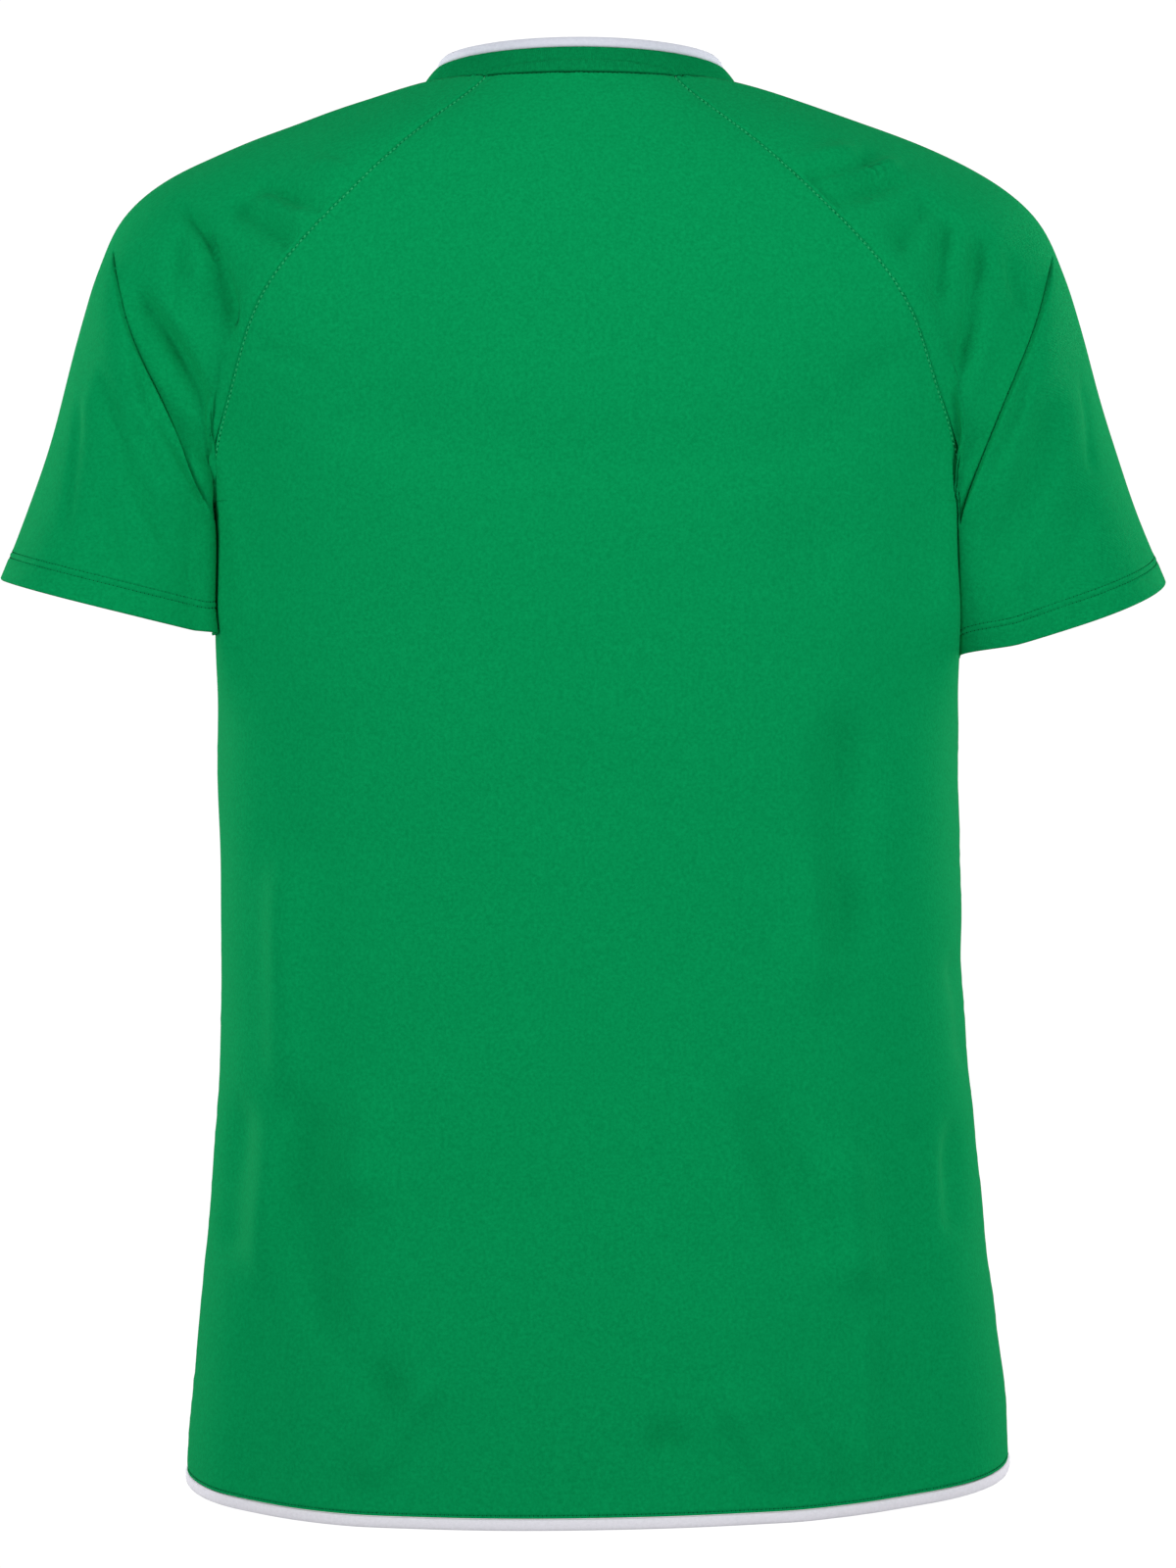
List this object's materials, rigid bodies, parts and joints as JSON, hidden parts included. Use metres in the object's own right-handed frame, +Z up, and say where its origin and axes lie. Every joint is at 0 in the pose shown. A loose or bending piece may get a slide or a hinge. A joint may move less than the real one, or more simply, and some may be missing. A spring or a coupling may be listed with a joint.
{
  "type": "football jersey",
  "caption": "Short-sleeved raglan football jersey filled out as worn, with a rib collar edged in white and a white bound hem.",
  "frame": {"origin": "the middle of the neck opening, level with the seam between the collar and the shoulders, where the wearer's shoulders and neck carry the jersey", "axes": "+Z up along the wearer's back, the wearer faces -Y, the wearer's left sleeve is towards +X"},
  "size_m": [0.593, 0.2694, 0.7374],
  "materials": {
    "jersey_green": "fine smooth polyester interlock knit with a soft sheen",
    "rib_green": "polyester rib knit with fine upright ribs",
    "trim_white": "smooth white polyester knit, folded to a narrow edge"
  },
  "bodies": {
    "root": {"back_panel": "jersey_green", "front_panel": "jersey_green", "sleeve_left": "jersey_green", "sleeve_right": "jersey_green", "collar_band": "rib_green", "collar_edge": "trim_white", "hem_binding": "trim_white"}
  },
  "joints": []
}
